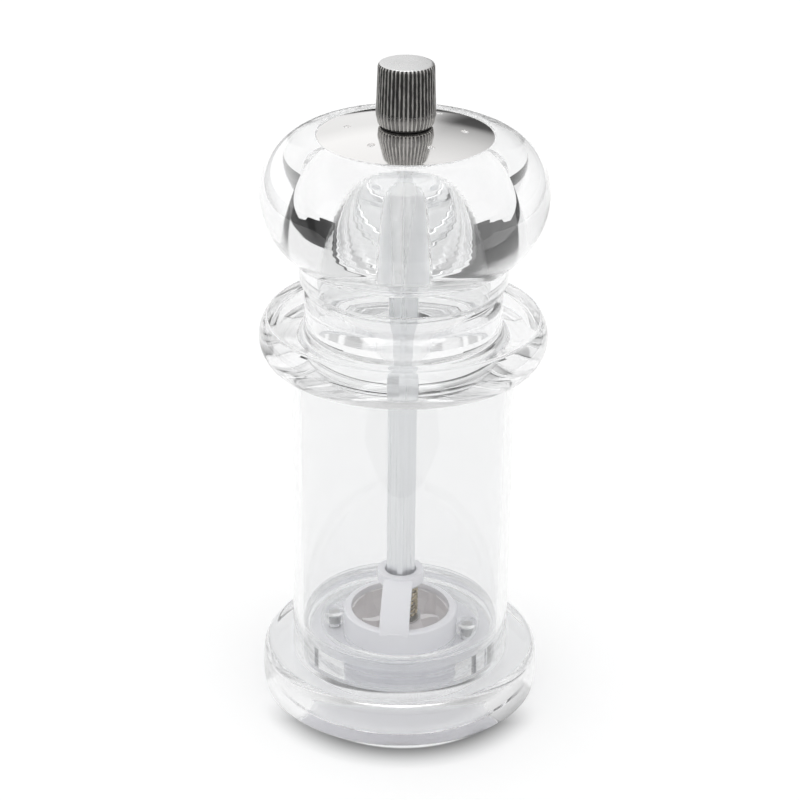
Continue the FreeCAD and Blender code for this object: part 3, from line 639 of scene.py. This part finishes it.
def make_spring(wire):
    """Compression spring with closed ends, between its seat and the drive washer."""
    seat_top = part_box("spring_seat")[1].z / MM
    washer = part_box("drive_washer")[0].z / MM
    wire_radius, coil_radius = 0.32, 3.53
    low = seat_top + wire_radius + 0.03
    high = washer - wire_radius - 0.03
    turns, closed_turns, around = 8.0, 1.0, 40
    points = []
    for step in range(round(turns * around) + 1):
        turn = step / around
        share = min(max((turn - closed_turns) / (turns - 2 * closed_turns), 0.0), 1.0)
        ends = min(turn, closed_turns) + max(turn - turns + closed_turns, 0.0)
        rise = 2.05 * wire_radius * ends
        height = low + rise + share * (high - low - 2 * closed_turns * 2.05 * wire_radius)
        angle = 2 * math.pi * turn
        points.append(Vector(
            (coil_radius * math.cos(angle), coil_radius * math.sin(angle), height)))
    return tube_along("spring_coil", points, wire_radius, [wire])


def finish_node(node, material, bevel=0.0):
    """Gives a carried-over CAD node its material, and small rounds on its edges."""
    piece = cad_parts[node]
    if not piece.material_slots:
        piece.data.materials.append(material)
    for holder in piece.material_slots:
        holder.material = material
    if bevel:
        rounds = piece.modifiers.new("edge_rounds", "BEVEL")
        rounds.width = bevel * MM
        rounds.segments = 3
        rounds.limit_method = "ANGLE"
        rounds.angle_limit = math.radians(40)
        rounds.harden_normals = True


def place(piece, body, slot, *nodes):
    """Puts a new piece on its body, in place of its CAD nodes; its slot argument is not used."""
    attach(piece, body)
    if nodes:
        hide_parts(*nodes)


acrylic = clear_acrylic()
nickel = knurled_nickel()
aluminium = drawn_aluminium()
plastic = white_plastic()
ceramic = white_ceramic()
steel_fixings = fixing_steel()

place(make_foot(acrylic), "barrel", "acrylic", "foot")
place(make_barrel(acrylic), "barrel", "acrylic", "barrel")
place(make_head(acrylic, frosted_glowing_acrylic()), "head", "acrylic", "salt_head")
place(make_disc(polished_steel()), "disc", "steel", "shaker_disc")
place(make_knob(nickel, satin_nickel()), "knob", "knob_metal", "knob")
place(make_shaft(aluminium), "spindle", "bar", "drive_shaft")
place(make_thread(aluminium), "spindle", "bar")
place(make_spring(spring_wire()), "spindle", "spring_steel", "spring")
finish_node("knob_insert", turned_brass())
finish_node("knob_washer", dark_rubber())
finish_node("grinder_carrier", plastic, bevel=0.2)
finish_node("base_plate", plastic, bevel=0.2)
finish_node("stator", ceramic)
finish_node("rotor", ceramic)
for node in ("drive_washer", "spring_seat", "rotor_washer", "rotor_screw", "carrier_screws"):
    finish_node(node, steel_fixings)


# --- studio -----------------------------------------------------------------


def grey_ramp(tree, value, stops):
    """Greys along a 0 to 1 value, as (position, level) stops."""
    ramp = tree.nodes.new("ShaderNodeValToRGB")
    steps = ramp.color_ramp.elements
    while len(steps) < len(stops):
        steps.new(0.5)
    for step, (position, level) in zip(steps, stops):
        step.position = position
        step.color = (level, level, level, 1.0)
    tree.links.new(value, ramp.inputs["Fac"])
    return ramp.outputs["Color"]


def blend(tree, first, second, share):
    node = tree.nodes.new("ShaderNodeMix")
    node.data_type = "RGBA"
    tree.links.new(share, node.inputs["Factor"])
    tree.links.new(first, node.inputs["A"])
    tree.links.new(second, node.inputs["B"])
    return node.outputs["Result"]


def mirrored(tree):
    """1 for what is seen as a reflection, 0 for what is seen directly or through acrylic."""
    path = tree.nodes.new("ShaderNodeLightPath")
    return math_node(tree, "GREATER_THAN", path.outputs["Is Glossy Ray"],
                     path.outputs["Is Transmission Ray"])


def make_table():
    """A pale table top with a soft shadow drawn in front of the mill.

    Its front part is dark in reflections only.
    """
    mesh = bmesh.new()
    level = -0.0001
    corners = [mesh.verts.new((x, y, level)) for x, y in
               ((-0.4, -1.2), (0.4, -1.2), (0.4, 0.9), (-0.4, 0.9))]
    mesh.faces.new(corners)
    material, tree, shader = new_material("pale_table", (0.93, 0.93, 0.93), Roughness=0.6)
    shader.inputs["Emission Strength"].default_value = 0.11
    where = coordinate(tree)
    axes = axes_of(tree, where)
    away = tree.nodes.new("ShaderNodeVectorMath")
    away.operation = "DISTANCE"
    away.inputs[1].default_value = (0.0005, -0.006, level)
    tree.links.new(where, away.inputs[0])
    edge = grey_ramp(tree, math_node(tree, "MULTIPLY", away.outputs["Value"], 20.0),
                     [(0.476, 0.0), (0.486, 0.78), (0.5, 0.7), (0.53, 0.54), (0.56, 0.36),
                      (0.59, 0.2), (0.62, 0.08), (0.65, 0.0)])
    side = grey_ramp(tree, math_node(tree, "MULTIPLY", axes["Y"], -20.0),
                     [(0.24, 0.0), (0.4, 1.0)])
    lit = math_node(tree, "SUBTRACT", 1.0, math_node(tree, "MULTIPLY", edge, side))
    tone = grey_ramp(tree, lit, [(0.0, 0.0), (1.0, 0.93)])
    tree.links.new(tone, shader.inputs["Base Color"])
    tree.links.new(tone, shader.inputs["Emission Color"])
    front = math_node(tree, "LESS_THAN", axes["Y"], -0.13)
    dark = tree.nodes.new("ShaderNodeBsdfDiffuse")
    dark.inputs["Color"].default_value = (0.1, 0.1, 0.1, 1.0)
    mix = tree.nodes.new("ShaderNodeMixShader")
    tree.links.new(math_node(tree, "MULTIPLY", front, mirrored(tree)), mix.inputs["Fac"])
    tree.links.new(shader.outputs["BSDF"], mix.inputs[1])
    tree.links.new(dark.outputs["BSDF"], mix.inputs[2])
    tree.links.new(mix.outputs["Shader"], tree.nodes["Material Output"].inputs["Surface"])
    as_object("table", mesh, [material])


def make_world():
    """Surroundings by direction: a light overhead, two screens, a wall and a dark corner.

    The camera sees plain white instead.
    """
    world = bpy.data.worlds.new("studio")
    bpy.context.scene.world = world
    world.use_nodes = True
    tree = world.node_tree
    axes = axes_of(tree, coordinate(tree, "Generated"))
    height = axes["Z"]
    turn = math_node(tree, "ARCTAN2", axes["Y"], axes["X"])
    turn = math_node(tree, "ADD", math_node(tree, "DIVIDE", turn, 2 * math.pi), 0.5)
    ceiling = [(0.93, 0.7), (0.95, 2.9)]
    room = grey_ramp(tree, height, [(0.0, 0.12), (0.012, 0.38), (0.15, 0.42), (0.25, 0.64),
                                    (0.7, 0.7), (0.88, 0.6)] + ceiling)
    wall = grey_ramp(tree, height, [(0.0, 0.02), (0.012, 0.85), (0.3, 0.84), (0.45, 0.98),
                                    (0.72, 0.92), (0.88, 0.68)] + ceiling)
    corner = grey_ramp(tree, height, [(0.0, 0.18), (0.012, 0.06), (0.22, 0.08), (0.3, 0.4),
                                      (0.48, 0.65), (0.7, 0.85), (0.85, 0.5)] + ceiling)
    screens = grey_ramp(tree, height, [(0.0, 0.12), (0.012, 0.38), (0.14, 0.45), (0.18, 1.1),
                                       (0.58, 1.1), (0.64, 0.7)] + ceiling)
    to_wall = grey_ramp(tree, turn, [(0.0, 0.5), (0.03, 0.0), (0.735, 0.0), (0.745, 1.0),
                                     (0.95, 1.0), (1.0, 0.5)])
    to_corner = grey_ramp(tree, turn, [(0.48, 0.0), (0.54, 1.0), (0.735, 1.0), (0.745, 0.0)])
    to_screens = grey_ramp(tree, turn, [(0.04, 0.0), (0.06, 1.0), (0.13, 1.0), (0.15, 0.0),
                                        (0.35, 0.0), (0.37, 1.0), (0.45, 1.0), (0.47, 0.0)])
    light = blend(tree, room, wall, to_wall)
    light = blend(tree, light, corner, to_corner)
    light = blend(tree, light, screens, to_screens)
    path = tree.nodes.new("ShaderNodeLightPath")
    white = tree.nodes.new("ShaderNodeRGB")
    white.outputs["Color"].default_value = (1.0, 1.0, 1.0, 1.0)
    low = math_node(tree, "LESS_THAN", height, 0.1)
    ahead = math_node(tree, "LESS_THAN", axes["Y"], 0.0)
    through = math_node(tree, "MULTIPLY", math_node(tree, "MULTIPLY", low, ahead),
                        math_node(tree, "SUBTRACT", 1.0, mirrored(tree)))
    pale = math_node(tree, "MAXIMUM", through, path.outputs["Is Camera Ray"])
    light = blend(tree, light, white.outputs["Color"], pale)
    tree.links.new(light, tree.nodes["Background"].inputs["Color"])


def make_camera():
    """Looks down on the mill from straight in front, rolled and panned very slightly."""
    camera = bpy.data.cameras.new("camera")
    camera.sensor_width = 36.0
    camera.lens = 109.2
    camera.clip_start = 0.01
    distance, height = 0.46347, 0.29148
    down, roll, pan = 0.4498, 0.0110, -0.0012
    forward = Vector((math.sin(pan) * math.cos(down), math.cos(pan) * math.cos(down),
                      -math.sin(down)))
    level = Vector((math.cos(pan), -math.sin(pan), 0.0))
    upright = level.cross(forward)
    right = math.cos(roll) * level + math.sin(roll) * upright
    top = -math.sin(roll) * level + math.cos(roll) * upright
    holder = bpy.data.objects.new("camera", camera)
    bpy.context.scene.collection.objects.link(holder)
    turn = Matrix((right, top, -forward)).transposed().to_4x4()
    holder.matrix_world = Matrix.Translation((0.0, -distance, height)) @ turn
    bpy.context.scene.camera = holder


make_table()
make_world()
make_camera()
scene = bpy.context.scene
scene.view_settings.view_transform = "Standard"
scene.view_settings.exposure = 0.06
scene.cycles.max_bounces = BOUNCES
scene.cycles.transmission_bounces = BOUNCES
scene.cycles.glossy_bounces = BOUNCES
scene.cycles.diffuse_bounces = 6
scene.cycles.transparent_max_bounces = 32
